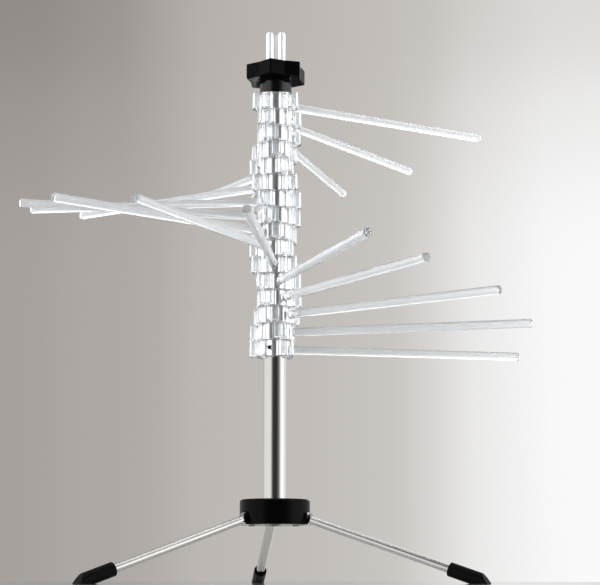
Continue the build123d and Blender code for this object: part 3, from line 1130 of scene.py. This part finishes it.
def makeWorld():
    # a level by azimuth and height each for camera, mirrored and clear paths, and by height for the rest
    world = bpy.data.worlds.new("studio")
    bpy.context.scene.world = world
    world.use_nodes = True
    tree = world.node_tree
    tree.nodes.clear()
    where = tree.nodes.new("ShaderNodeTexCoord")
    parts = tree.nodes.new("ShaderNodeSeparateXYZ")
    path = tree.nodes.new("ShaderNodeLightPath")
    tree.links.new(where.outputs["Generated"], parts.inputs["Vector"])
    angle = maths(tree, "ARCTAN2", parts.outputs["X"], parts.outputs["Y"])
    azimuth = maths(tree, "MULTIPLY", angle, math.degrees(1))

    def byAzimuth(name):
        return rampOf(tree, azimuth, studio[name], -180, 180)

    def byHeight(name):
        return rampOf(tree, parts.outputs["Z"], studio[name], -1, 1)

    def tint(factor, ends, first, second):
        # colour between two by a value
        made = tree.nodes.new("ShaderNodeMix")
        made.data_type = "RGBA"
        made.inputs["A"].default_value = (*first, 1)
        made.inputs["B"].default_value = (*second, 1)
        tree.links.new(spread(tree, factor, 0, 1, *ends, smooth=True), made.inputs["Factor"])
        return made.outputs["Result"]

    def shade(level, colour=None):
        # even light of one level, in the studio's warmth or another colour
        made = tree.nodes.new("ShaderNodeBackground")
        made.inputs["Color"].default_value = (*studio["warmth"], 1)
        if colour is not None:
            tree.links.new(colour, made.inputs["Color"])
        tree.links.new(level, made.inputs["Strength"])
        return made.outputs["Background"]

    def choose(kind, other, first):
        # the first light on paths of one kind, the other elsewhere
        made = tree.nodes.new("ShaderNodeMixShader")
        tree.links.new(path.outputs[kind], made.inputs["Fac"])
        tree.links.new(other, made.inputs[1])
        tree.links.new(first, made.inputs[2])
        return made.outputs["Shader"]

    neutral = (1.0, 1.0, 1.0)
    # seenMiddle takes back what the height takes off
    level = byAzimuth("seen")
    plain = maths(tree, "MULTIPLY", level, byHeight("seenByHeight"))
    seen = maths(tree, "MULTIPLY_ADD", maths(tree, "SUBTRACT", level, plain), byAzimuth("seenMiddle"), plain)
    warm = tint(seen, studio["warmLevels"], studio["darkWarmth"], neutral)
    mirrored = maths(tree, "MULTIPLY", byAzimuth("mirrored"), byHeight("mirroredByHeight"))
    through = maths(tree, "MULTIPLY", byAzimuth("through"), byHeight("throughByHeight"))
    cool = tint(azimuth, studio["coolAzimuths"], studio["coolness"], neutral)
    light = choose("Is Glossy Ray", shade(byHeight("fillByHeight")), shade(mirrored))
    light = choose("Is Transmission Ray", light, shade(through, cool))
    light = choose("Is Camera Ray", light, shade(seen, warm))
    out = tree.nodes.new("ShaderNodeOutputWorld")
    tree.links.new(light, out.inputs["Surface"])


# soft lamps that all point at the stack, in metres
lamps = {
    "overheadSoftbox": {"place": (0.1, 0.1, 1.5), "size": (1.5, 1.1), "watts": 4},
    "leftSoftbox": {"place": (-1.6, -0.5, 0.6), "size": (0.9, 1.3), "watts": 26},
    "rightSoftbox": {"place": (1.7, 0.1, 0.5), "size": (0.5, 1.3), "watts": 32},
}
aimPoint = (0, 0, 0.28)


def makeLamps():
    # each lamp's -Z axis turned from its place towards the aim point
    for name, lamp in lamps.items():
        data = bpy.data.lights.new(name, "AREA")
        data.shape = "RECTANGLE"
        data.size, data.size_y = lamp["size"]
        data.energy = lamp["watts"]
        made = bpy.data.objects.new(name, data)
        bpy.context.scene.collection.objects.link(made)
        made.location = lamp["place"]
        towards = Vector(aimPoint) - Vector(lamp["place"])
        made.rotation_euler = towards.to_track_quat("-Z", "Y").to_euler()
        made.visible_camera = False
        made.visible_glossy = False
        made.visible_transmission = False


# the camera stands a little above the table and looks up at the rack; metres and degrees, and millimetres
# for lens and sensor
camera = {
    "distance": 1.3031,
    "height": 0.004,
    "pitch": 6.972,
    "turn": 0.894,
    "lens": 96.19,
    "sensor": 36,
    "shiftY": 0.15,
}


def makeCamera():
    # on -Y at its distance and height, looking along +Y, pitched up and turned a little to the right
    data = bpy.data.cameras.new("camera")
    data.lens = camera["lens"]
    data.sensor_width = camera["sensor"]
    data.shift_y = camera["shiftY"]
    made = bpy.data.objects.new("camera", data)
    bpy.context.scene.collection.objects.link(made)
    made.location = (0, -camera["distance"], camera["height"])
    made.rotation_euler = (math.radians(90 + camera["pitch"]), 0, math.radians(-camera["turn"]))
    bpy.context.scene.camera = made


# table top in metres; it fades out between two distances from the column
floorSizes = {"radius": 3.0, "steps": 64, "fade": (0.35, 1.1)}


def makeFloor():
    # a round table top, wide enough for every view
    turns = np.linspace(0, 2 * math.pi, floorSizes["steps"], endpoint=False)
    points = np.column_stack([np.cos(turns), np.sin(turns), np.zeros(len(turns))]) * floorSizes["radius"]
    mesh = bpy.data.meshes.new("floor")
    mesh.from_pydata(points.tolist(), [], [list(range(len(turns)))])
    made = bpy.data.objects.new("floor", mesh)
    bpy.context.scene.collection.objects.link(made)
    material, tree, shader, look = newMaterial("floor")
    shader.inputs["Roughness"].default_value = look["roughness"]
    where = tree.nodes.new("ShaderNodeTexCoord")
    reach = tree.nodes.new("ShaderNodeVectorMath")
    reach.operation = "LENGTH"
    tree.links.new(where.outputs["Object"], reach.inputs[0])
    clear = tree.nodes.new("ShaderNodeBsdfTransparent")
    blend = tree.nodes.new("ShaderNodeMixShader")
    fade = spread(tree, reach.outputs["Value"], 0, 1, *floorSizes["fade"], smooth=True)
    tree.links.new(fade, blend.inputs["Fac"])
    tree.links.new(shader.outputs["BSDF"], blend.inputs[1])
    tree.links.new(clear.outputs["BSDF"], blend.inputs[2])
    tree.links.new(blend.outputs["Shader"], tree.nodes["Material Output"].inputs["Surface"])
    made.data.materials.append(material)


makeWorld()
makeLamps()
makeCamera()
makeFloor()
bpy.context.scene.view_settings.view_transform = "Standard"
print("studio made")
